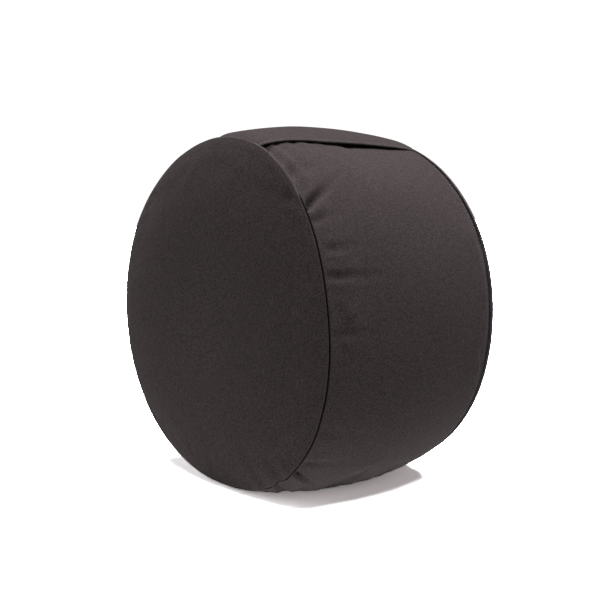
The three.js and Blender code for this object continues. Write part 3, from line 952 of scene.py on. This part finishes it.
def make_cover():
    layer = {"depth": 0.0, "cloth": CLOTH, "half": HALF_LENGTH, "slot_width": ZIP_SLOT,
             "material": COVER}
    steps = ROUND // 4
    pieces = {
        "side_band": band_piece("side_band_cloth", band_relief, ROUND, LENGTHS, **layer),
        "front_panel": panel_piece("front_panel_cloth", -1, FRONT_DOME, RIM_FRONT,
                                   panel_relief(-1), steps, **layer),
        "back_panel": panel_piece("back_panel_cloth", 1, BACK_DOME, RIM_BACK,
                                  panel_relief(1), steps, **layer)}
    for node, piece in pieces.items():
        points = piece_points(piece)
        radius = np.hypot(points[:, 0], points[:, 2] - AXIS_HEIGHT)
        angle = np.arctan2(points[:, 2] - AXIS_HEIGHT, points[:, 0])
        edge = np.abs(np.abs(points[:, 1]) - HALF_LENGTH)
        at_zip = points[:, 1] > 0
        # At the zip and where the edge stands proud beside the strap, the paler colour is a painted
        # highlight of the light the edge catches; elsewhere it is wear.
        reach = np.where(at_zip, ZIP_HIGHLIGHT_REACH[node], FRONT_RUB_AND_HIGHLIGHT_REACH)
        proud = seam_ridge(angle) > 0.3 * MM
        rub_and_highlight = np.where(at_zip, ZIP_HIGHLIGHT, FRONT_WEAR + RIDGE_HIGHLIGHT * proud)
        rim = rub_and_highlight * np.exp(-((edge / reach) ** 4)) * (radius > ZIP_RADIUS - 4 * MM)
        mark(piece, "wear_and_highlight", np.clip(rim, 0, 1))
        place_piece(piece, "root", node)


# ---- Inner bag and its fill ----
BAG_DEPTH = 8.5 * MM


def make_inner_bag():
    layer = {"depth": BAG_DEPTH, "cloth": 0.8 * MM, "half": HALF_LENGTH - 5.5 * MM,
             "slot_width": SEAM_GAP, "material": MUSLIN}
    lower = 4 * MM  # than the cover's own dome
    pieces = {
        "liner_side_band": band_piece("inner_bag_band", None, 120, 30, hem=2 * MM, wander=False,
                                      **layer),
        "liner_front_panel": panel_piece("inner_bag_front", -1, FRONT_DOME - lower, RIM_FRONT,
                                         None, 30, **layer),
        "liner_back_panel": panel_piece("inner_bag_back", 1, BACK_DOME - lower, RIM_FRONT,
                                        None, 30, **layer)}
    for node, piece in pieces.items():
        place_piece(piece, "root", node)


def make_fill():
    """The loose hulls, one lumpy body inside the bag."""
    depth = BAG_DEPTH + 3.5 * MM
    half = HALF_LENGTH - 7.5 * MM
    clear_selection()
    bpy.ops.mesh.primitive_cube_add(size=2, location=(0, 0, 0))
    fill = bpy.context.object
    fill.name = "hull_filling"
    bpy.ops.object.mode_set(mode="EDIT")
    bpy.ops.mesh.select_all(action="SELECT")
    bpy.ops.mesh.subdivide(number_cuts=47)
    bpy.ops.object.mode_set(mode="OBJECT")
    points = piece_points(fill).astype(float)
    a, y, b = points[:, 0], points[:, 1], points[:, 2]
    size = np.maximum(np.abs(a), np.abs(b))
    turn = np.arctan2(b, a)
    rim = band_radius(np.clip(y, -1, 1) * half, turn, depth)
    rough = np.array([noise.noise(Vector(p) * 14) for p in points]) * 0.8 * MM
    dome = (FRONT_DOME - 8 * MM) * (1 - size**DOME_POWER)
    radius = size * rim + rough * size
    away = np.where(y < 0, -1, 1) * dome * (np.abs(y) ** 6)
    points[:, 0] = radius * np.cos(turn)
    points[:, 1] = y * half + away + rough * (1 - size)
    points[:, 2] = np.maximum(AXIS_HEIGHT + radius * np.sin(turn), depth)
    fill.data.vertices.foreach_set("co", points.astype(np.float32).reshape(-1))
    fill.data.polygons.foreach_set("use_smooth", np.ones(len(fill.data.polygons), dtype=bool))
    fill.data.update()
    fill.data.materials.append(HULLS)
    turn_outward(fill)
    place_piece(fill, "root", "hull_fill")


# ---- Carrying strap ----
STRAP_ANGLE = math.radians(78)
STRAP_HALF = 30 * MM
STRAP_RADIUS = 156 * MM  # its usual distance from the axis
STRAP_THICK = 1.9 * MM
STRAP_FRONT, STRAP_REAR = -87.3 * MM, 81.4 * MM
GRIP_HALF = 50 * MM
# Underside of the strap's two edges: place along the cushion, distance from the axis, in mm.
NEAR_EDGE = ((-88, 149.8), (-86, 151.2), (-82.5, 152.9), (-76, 154.6), (-66, 156.1),
             (-52, 156.8), (-36, 156.5), (-22, 155.9), (0, 155.1), (20, 154.3), (46, 152.5),
             (62, 151.3), (75, 149.6), (84, 148.2))
FAR_EDGE = ((-88, 146.0), (-86, 147.3), (-81, 149.3), (-73, 150.9), (-63, 152.4), (-52, 153.8),
            (-32, 155.8), (-11, 157.0), (11, 156.7), (34, 155.4), (57, 152.7), (75, 149.9),
            (84, 148.2))
CROWN = 0.5 * MM
STITCH = 3.2 * MM  # from one stitch to the next
STITCH_LINE = 26.1 * MM  # of the two rows, from the strap's middle
OUT = np.array([math.cos(STRAP_ANGLE), 0.0, math.sin(STRAP_ANGLE)])


def smooth_line(table, value):
    """A smooth curve through a short table of points."""
    x, y = (np.array(column, dtype=float) * MM for column in zip(*table))
    slope = np.gradient(y, x)
    value = np.clip(value, x[0], x[-1])
    k = np.clip(np.searchsorted(x, value) - 1, 0, len(x) - 2)
    width = x[k + 1] - x[k]
    t = (value - x[k]) / width
    return ((1 + 2 * t) * (1 - t) ** 2 * y[k] + t * (1 - t) ** 2 * width * slope[k]
            + t * t * (3 - 2 * t) * y[k + 1] + t * t * (t - 1) * width * slope[k + 1])


def strap_section():
    """Outline of the folded strap: round edges, a stitched dip inside each."""
    across = np.concatenate([
        np.array([-30, -29.75, -29.2, -28.2, -26.6, -26.1, -25.6, -24]),
        np.linspace(-21, 21, 13), np.array([24, 25.6, 26.1, 26.6, 28.2, 29.2, 29.75, 30])])
    edge = np.abs(across)
    thick = np.interp(edge, [0, 22, 24, 25.6, 26.1, 26.6, 28.2, 29.2, 29.75, 30],
                      [0.5, 0.5, 0.5, 0.40, 0.32, 0.42, 0.58, 0.5, 0.3, 0.02]) * 2
    return across * MM, thick * STRAP_THICK / 2


def strap_point(y, across, side_out):
    near, far = smooth_line(NEAR_EDGE, y), smooth_line(FAR_EDGE, y)
    share = (across / STRAP_HALF + 1) / 2
    crown = CROWN * (1 - (across / STRAP_HALF) ** 2)
    height = near * (1 - share) + far * share + crown + side_out
    return round_axis(height, STRAP_ANGLE + across / STRAP_RADIUS, y)


def strap_piece(name, low, high):
    stations = np.linspace(low, high, max(2, int(round((high - low) / (1.6 * MM)))) + 1)
    across, thick = strap_section()
    loop_across = np.concatenate([across, across[::-1][1:-1]])
    loop_out = np.concatenate([STRAP_THICK / 2 + thick, (STRAP_THICK / 2 - thick)[::-1][1:-1]])
    count = len(loop_across)
    rows = np.stack([strap_point(y + 0 * loop_across, loop_across, loop_out) for y in stations])
    points = rows.reshape(-1, 3)
    faces, uv = [], []
    around = run_lengths(loop_across, loop_out)
    for j in range(len(stations) - 1):
        for i in range(count):
            k = (i + 1) % count
            faces.append((j * count + i, j * count + k, (j + 1) * count + k, (j + 1) * count + i))
            uv += [(around[i], stations[j]), (around[i + 1], stations[j]),
                   (around[i + 1], stations[j + 1]), (around[i], stations[j + 1])]
    piece = add_mesh(name, points, faces, uv, STRAP)
    # The two ends are closed with a strip of faces between the upper and lower outline.
    work = bmesh.new()
    work.from_mesh(piece.data)
    layer = work.loops.layers.uv["Cut"]
    work.verts.ensure_lookup_table()
    top = len(across)
    for base, flip in ((0, False), ((len(stations) - 1) * count, True)):
        for i in range(top - 1):
            lower_a = (count - i) % count
            lower_b = (count - i - 1) % count
            corners = [base + i, base + i + 1]
            for c in (lower_b, lower_a):
                if base + c not in corners:
                    corners.append(base + c)
            if len(corners) < 3:
                continue
            order = corners if flip else corners[::-1]
            face = work.faces.new([work.verts[c] for c in order])
            face.smooth = False
            for corner in face.loops:
                corner[layer].uv = (corner.vert.co.x, corner.vert.co.z)
    for edge in work.edges:
        if len(edge.link_faces) == 2 and edge.link_faces[0].smooth != edge.link_faces[1].smooth:
            edge.smooth = False
    work.to_mesh(piece.data)
    work.free()
    turn_outward(piece)
    edge = np.abs(loop_across) / STRAP_HALF
    mark(piece, "wear_and_highlight", np.tile(np.clip((edge - 0.93) / 0.07, 0, 1) * 0.8, len(stations)))
    add_stitches(piece, low, high)
    return piece


def stitch_template():
    """One stitch: a short thread with round ends that dips into the cloth."""
    sides, steps = 6, 6
    points, faces = [], []
    for k in range(steps + 1):
        t = k / steps
        lift = 0.30 * math.sin(PI * t) - 0.12
        thin = 0.20 * (0.45 + 0.55 * math.sin(PI * min(max(t, 0.08), 0.92)))
        for s in range(sides):
            turn = 2 * PI * s / sides
            points.append(((t - 0.5) * 2.5, thin * math.cos(turn), lift + thin * math.sin(turn)))
    for k in range(steps):
        for s in range(sides):
            n = (s + 1) % sides
            faces.append((k * sides + s, k * sides + n, (k + 1) * sides + n, (k + 1) * sides + s))
    faces.append(tuple(range(sides))[::-1])
    faces.append(tuple(steps * sides + s for s in range(sides)))
    return [Vector(p) for p in np.array(points) * MM], faces


def add_copies(piece, template, faces, frames, material):
    """Puts a small shape at many places of a piece: frames are (origin, along, across, out)."""
    if material.name not in [m.name for m in piece.data.materials]:
        piece.data.materials.append(material)
    index = [m.name for m in piece.data.materials].index(material.name)
    work = bmesh.new()
    work.from_mesh(piece.data)
    for origin, along, across, out in frames:
        made = [work.verts.new(origin + p[0] * along + p[1] * across + p[2] * out)
                for p in template]
        for corners in faces:
            face = work.faces.new([made[c] for c in corners])
            face.material_index = index
            face.smooth = True
    work.to_mesh(piece.data)
    work.free()


def add_stitches(piece, low, high):
    template, faces = stitch_template()
    frames = []
    first = math.ceil((low + 1.6 * MM) / STITCH)
    for k in range(first, int((high - 1.6 * MM) / STITCH) + 1):
        y = k * STITCH
        for across in (-STITCH_LINE, STITCH_LINE):
            p, q = (strap_point(np.array([v]), np.array([across]), STRAP_THICK * 0.82)[0]
                    for v in (y - 0.5 * MM, y + 0.5 * MM))
            along = Vector(q - p).normalized()
            out = Vector(OUT)
            side = out.cross(along).normalized()
            out = along.cross(side).normalized()
            frames.append((Vector((p + q) / 2), along, side, out))
    add_copies(piece, template, faces, frames, THREAD)


def make_strap():
    front = strap_piece("strap_front_end", STRAP_FRONT, -GRIP_HALF)
    grip = strap_piece("strap_grip", -GRIP_HALF, GRIP_HALF)
    rear = strap_piece("strap_rear_end", GRIP_HALF, STRAP_REAR)
    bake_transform(front)
    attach(grip, "handle")
    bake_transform(rear)
    for piece, node, length in ((front, "handle_front_end", 0.0385),
                                (grip, "handle_grip", 0.100), (rear, "handle_rear_end", 0.0325)):
        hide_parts(node)


# ---- Zip ----
COIL_MIDDLE = 144.2 * MM
COIL_FROM, COIL_TO = math.radians(-57), math.radians(191)
COIL_PITCH = 1.3 * MM
TOOTH_TIP = 0.62 * MM  # from the middle of the zip, so the slider's neck runs between
SLIDER_ANGLE = math.radians(189.129)
PIVOT = Vector((-0.14771, HALF_LENGTH, 0.12226))


def zip_frame(angle, radius):
    out = Vector((math.cos(angle), 0, math.sin(angle)))
    along = Vector((-math.sin(angle), 0, math.cos(angle)))
    return Vector((0, HALF_LENGTH, AXIS_HEIGHT)) + out * radius, along, Vector((0, 1, 0)), out


def tape_piece(name, outline, node):
    """A woven tape swept along the zip: its outline is (place across, distance from the axis)."""
    steps = 255
    angles = np.linspace(ZIP_FROM, ZIP_TO, steps + 1)
    across, radius = (np.array(column) * MM for column in zip(*outline))
    count = len(outline)
    points = round_axis(radius, angles[:, None], HALF_LENGTH + across).reshape(-1, 3)
    run = run_lengths(across, radius)
    faces, uv = [], []
    for j in range(steps):
        low, high = angles[j] * ZIP_RADIUS, angles[j + 1] * ZIP_RADIUS
        for i in range(count):
            k = (i + 1) % count
            faces.append((j * count + i, (j + 1) * count + i, (j + 1) * count + k, j * count + k))
            uv += [(low, run[i]), (high, run[i]), (high, run[i + 1]), (low, run[i + 1])]
    for ring in (range(count), [steps * count + i for i in range(count)][::-1]):
        faces.append(tuple(ring))
        uv += [tuple(points[k][1:]) for k in ring]
    tape = turn_outward(add_mesh(name, points, faces, uv, TAPE))
    finish_hard(tape, 40)
    place_piece(tape, "root", node)


def finish_hard(piece, degrees):
    clear_selection()
    piece.select_set(True)
    bpy.context.view_layer.objects.active = piece
    bpy.ops.object.shade_smooth_by_angle(angle=math.radians(degrees))


def make_tapes():
    tape_piece("zip_tape_band_edge", ((-6.7, 142.6), (-0.75, 142.6), (-0.65, 142.7), (-0.65, 143.1),
                                      (-0.75, 143.2), (-2.9, 143.2), (-3.2, 143.32), (-3.5, 143.2),
                                      (-6.7, 143.2)), "zip_tape_band_side")
    tape_piece("zip_tape_panel_edge", ((0.75, 142.6), (2.0, 142.6), (2.4, 142.2), (2.4, 133.6),
                                       (3.0, 133.6), (3.0, 142.4), (2.8, 142.95), (2.3, 143.2),
                                       (0.75, 143.2), (0.65, 143.1), (0.65, 142.7)),
               "zip_tape_panel_side")


def make_tooth():
    """One turn of the coil, in its own place: x along the zip, y across, z outwards."""
    clear_selection()
    bpy.ops.mesh.primitive_torus_add(major_radius=0.52 * MM, minor_radius=0.27 * MM,
                                     major_segments=12, minor_segments=6)
    tooth = bpy.context.object
    bpy.ops.object.mode_set(mode="EDIT")
    bpy.ops.mesh.select_all(action="SELECT")
    bpy.ops.transform.resize(value=(1.0, 1.0, 1.9))
    bpy.ops.object.mode_set(mode="OBJECT")
    places = [v.co.copy() for v in tooth.data.vertices]
    corners = [tuple(f.vertices) for f in tooth.data.polygons]
    bpy.data.objects.remove(tooth)
    # Laid so that the turn stands across the zip, a little wider than it is high.
    return [Vector((p.z * 0.62 + p.x * 0.35, p.x * 1.12, p.y * 0.84)) for p in places], corners


def make_coils():
    tooth, corners = make_tooth()
    reach = max(p.y for p in tooth)
    count = int((COIL_TO - COIL_FROM) * COIL_MIDDLE / COIL_PITCH)
    for name, side, node in (("zip_coil_band_edge", -1, "zip_coil_band_side"),
                             ("zip_coil_panel_edge", 1, "zip_coil_panel_side")):
        mesh = bpy.data.meshes.new(name)
        mesh.materials.append(COIL)
        coil = bpy.data.objects.new(name, mesh)
        bpy.context.scene.collection.objects.link(coil)
        frames = []
        for k in range(count):
            turn = COIL_FROM + (k + (0.5 if side < 0 else 0.0) + 0.4) * COIL_PITCH / COIL_MIDDLE
            origin, along, across, out = zip_frame(turn, COIL_MIDDLE)
            frames.append((origin + across * side * (TOOTH_TIP + reach), along, across * side, out))
        add_copies(coil, tooth, corners, frames, COIL)
        turn_outward(coil)
        place_piece(coil, "root", node)


def add_block(name, low, high, bevel=0.0, segments=2):
    """A block between two corners, with its edges eased."""
    clear_selection()
    middle = [(a + b) / 2 * MM for a, b in zip(low, high)]
    bpy.ops.mesh.primitive_cube_add(size=1, location=(0, 0, 0))
    block = bpy.context.object
    block.name = name
    bpy.ops.object.mode_set(mode="EDIT")
    bpy.ops.mesh.select_all(action="SELECT")
    bpy.ops.transform.resize(value=[(b - a) * MM for a, b in zip(low, high)])
    bpy.ops.transform.translate(value=middle)
    if bevel:
        bpy.ops.mesh.bevel(offset=bevel * MM, segments=segments, affect="EDGES")
    bpy.ops.object.mode_set(mode="OBJECT")
    return block


def join(pieces, name):
    clear_selection()
    for piece in pieces:
        piece.select_set(True)
    bpy.context.view_layer.objects.active = pieces[0]
    bpy.ops.object.join()
    pieces[0].name = name
    return pieces[0]


def settle_in_place(piece, matrix):
    """Moves a piece modelled in its own frame to its place, and leaves its object at the origin."""
    piece.data.transform(matrix)
    if matrix.determinant() < 0:  # a mirrored frame turns the faces inwards
        piece.data.flip_normals()
    piece.matrix_world = Matrix.Identity(4)
    piece.data.update()


def local_to_zip(angle):
    """x along the zip, y across it, z out from the axis; heights are distances from the axis."""
    _, along, across, out = zip_frame(angle, 0)
    turn = Matrix((along, across, out)).transposed().to_4x4()
    return Matrix.Translation(Vector((0, HALF_LENGTH, AXIS_HEIGHT))) @ turn


def make_stops():
    length = 3.0
    for name, node, y_low, y_high, start in (
            ("zip_top_stop_band_edge", "zip_top_stop_band_side", -1.3, -0.2, 191.117),
            ("zip_top_stop_panel_edge", "zip_top_stop_panel_side", 0.2, 1.3, 191.117),
            ("zip_bottom_stop_bar", "zip_bottom_stop", -1.3, 1.3, -58.286)):
        stop = add_block(name, (-length / 2, y_low, 143.5), (length / 2, y_high, 148.1), 0.28, 3)
        middle = math.radians(start) + length / 2 * MM / ZIP_RADIUS
        settle_in_place(stop, local_to_zip(middle))
        stop.data.materials.append(METAL)
        finish_hard(stop, 50)
        place_piece(stop, "root", node)


def select_faces(piece, test):
    """In edit mode: selects the faces that pass a test on their middle and their normal."""
    bpy.ops.mesh.select_mode(type="FACE")
    bpy.ops.mesh.select_all(action="DESELECT")
    work = bmesh.from_edit_mesh(piece.data)
    for face in work.faces:
        face.select_set(test(face.calc_center_median() / MM, face.normal))
    bmesh.update_edit_mesh(piece.data)


def make_slider():
    plate = add_block("zip_slider_body", (-4.5, -3.2, 147.3), (4.5, 3.2, 148.5))
    bpy.ops.object.mode_set(mode="EDIT")
    bpy.ops.mesh.select_all(action="SELECT")
    bpy.ops.mesh.subdivide(number_cuts=3)
    work = bmesh.from_edit_mesh(plate.data)
    for v in work.verts:
        # Wide shoulders where the two rows come in, narrow where they leave together.
        x = v.co.x / (4.5 * MM)
        v.co.y *= 0.80 + 0.20 * max(0.0, min(1.0, (x + 0.35) / 0.8))
        v.co.x *= 1.0 - 0.10 * (v.co.y / (3.2 * MM)) ** 2
        if v.co.z > 148.0 * MM:
            v.co.z -= 0.35 * MM * (v.co.y / (3.2 * MM)) ** 2
    bmesh.update_edit_mesh(plate.data)
    bpy.ops.object.mode_set(mode="OBJECT")
    soften(plate, 0.16, 2, 50)
    neck = add_block("neck", (-4.2, -0.36, 141.9), (4.2, 0.36, 147.5), 0.1)
    lower = add_block("lower_plate", (-4.5, -2.1, 140.9), (4.5, 2.1, 142.1), 0.25)
    # The bail rises from one post, crosses over the pull's bar and comes down on the other.
    bail = add_block("bail", (-3.1, -0.6, 148.3), (-2.1, 0.6, 150.7))
    bpy.ops.object.mode_set(mode="EDIT")
    steps = (
        (lambda c, n: n.z > 0.9, (0, 0, 1.0)),
        (lambda c, n: n.x > 0.9 and c.z > 150.8, (4.2, 0, 0)),
        (lambda c, n: n.x > 0.9 and c.z > 150.8 and c.x > 2.0, (1.0, 0, 0)),
        (lambda c, n: n.z < -0.9 and c.x > 2.2 and c.z > 150.0, (0, 0, -2.4)),
    )
    for test, move in steps:
        select_faces(bail, test)
        bpy.ops.mesh.extrude_region_move(
            TRANSFORM_OT_translate={"value": tuple(v * MM for v in move)})
    bpy.ops.mesh.select_all(action="SELECT")
    bpy.ops.mesh.normals_make_consistent(inside=False)
    bpy.ops.object.mode_set(mode="OBJECT")
    soften(bail, 0.26, 3, 40)
    slider = join([plate, neck, lower, bail], "zip_slider_body")
    settle_in_place(slider, local_to_zip(SLIDER_ANGLE))
    slider.data.materials.clear()
    slider.data.materials.append(METAL)
    finish_hard(slider, 40)
    place_piece(slider, "zip_slider", "zip_slider")


def soften(piece, width, segments, limit):
    """A bevel on every edge sharper than the limit, applied."""
    clear_selection()
    piece.select_set(True)
    bpy.context.view_layer.objects.active = piece
    bevel = piece.modifiers.new("Eased", "BEVEL")
    bevel.width, bevel.segments = width * MM, segments
    bevel.limit_method, bevel.angle_limit = "ANGLE", math.radians(limit)
    bpy.ops.object.modifier_apply(modifier=bevel.name)


def outline_ring(count, half_width, low, high, power):
    """Points of a long rounded outline, x along it; a higher power makes squarer corners."""
    ring = []
    for k in range(count):
        turn = 2 * PI * (k + 0.5) / count
        c, s = math.cos(turn), math.sin(turn)
        x = abs(c) ** (2 / power) * (1 if c > 0 else -1)
        y = abs(s) ** (2 / power) * (1 if s > 0 else -1)
        ring.append(((low + high) / 2 + x * (high - low) / 2, y * half_width))
    return ring


def make_pull():
    """A flat tab with an eye at its top and a waist; it hangs from a bar under the bail."""
    rings = []
    count = 32
    for ring in (outline_ring(count, 2.9, -0.6, 22.0, 5), outline_ring(count, 1.25, 0.75, 5.0, 4)):
        clear_selection()
        bpy.ops.mesh.primitive_circle_add(vertices=count, radius=MM, fill_type="NOTHING")
        loop = bpy.context.object
        for v, (x, y) in zip(loop.data.vertices, ring):
            waist = 1 - 0.16 * math.exp(-(((x - 8.5) / 4.0) ** 2)) if abs(y) > 1.3 else 1
            v.co = Vector((x * MM, y * waist * MM, -0.55 * MM))
        rings.append(loop)
    tab = join(rings, "zip_pull")
    bpy.ops.object.mode_set(mode="EDIT")
    bpy.ops.mesh.select_all(action="SELECT")
    bpy.ops.mesh.bridge_edge_loops()
    bpy.ops.mesh.select_all(action="SELECT")
    bpy.ops.mesh.extrude_region_move(TRANSFORM_OT_translate={"value": (0, 0, 1.1 * MM)})
    bpy.ops.mesh.select_all(action="SELECT")
    bpy.ops.mesh.normals_make_consistent(inside=False)
    bpy.ops.object.mode_set(mode="OBJECT")
    soften(tab, 0.22, 2, 50)
    ribs = [add_block("grip_rib", (x - 0.3, -1.9, z - 0.15), (x + 0.3, 1.9, z + 0.15), 0.1)
            for x in (13.0, 14.6, 16.2, 17.8) for z in (-0.58, 0.58)]
    clear_selection()
    bpy.ops.mesh.primitive_cylinder_add(vertices=16, radius=0.55 * MM, depth=5.0 * MM,
                                        rotation=(PI / 2, 0, 0))
    bar = bpy.context.object
    bpy.ops.object.transform_apply(location=True, rotation=True, scale=True)
    pull = join([tab, bar, *ribs], "zip_pull")
    down = Matrix(((0, 0, -1), (0, 1, 0), (-1, 0, 0))).to_4x4()
    settle_in_place(pull, Matrix.Translation(PIVOT) @ down)
    pull.data.materials.clear()
    pull.data.materials.append(METAL)
    finish_hard(pull, 40)
    place_piece(pull, "zip_pull", "zip_pull_tab")


def zip_topstitch():
    """A row of stitches beside the band's turned edge of the zip."""
    template, faces = stitch_template()
    band, panel = bpy.data.objects["side_band_cloth"], bpy.data.objects["back_panel_cloth"]
    angles = np.arange(ZIP_FROM, ZIP_TO, STITCH / ZIP_RADIUS)
    place = HALF_LENGTH - ZIP_SLOT / 2 - 2.6 * MM
    frames = []
    for angle in angles:
        here = np.array([angle])
        radius = float(band_radius(place, here)[0] + band_relief(place, here)[0])
        _, along, across, out = zip_frame(angle, 0)
        origin = Vector((radius * out.x, place, AXIS_HEIGHT + radius * out.z))
        frames.append((origin, along, -across, out))
    add_copies(band, template, faces, frames, THREAD)


make_cover()
make_inner_bag()
make_fill()
make_strap()
make_tapes()
make_coils()
make_stops()
make_slider()
make_pull()
zip_topstitch()
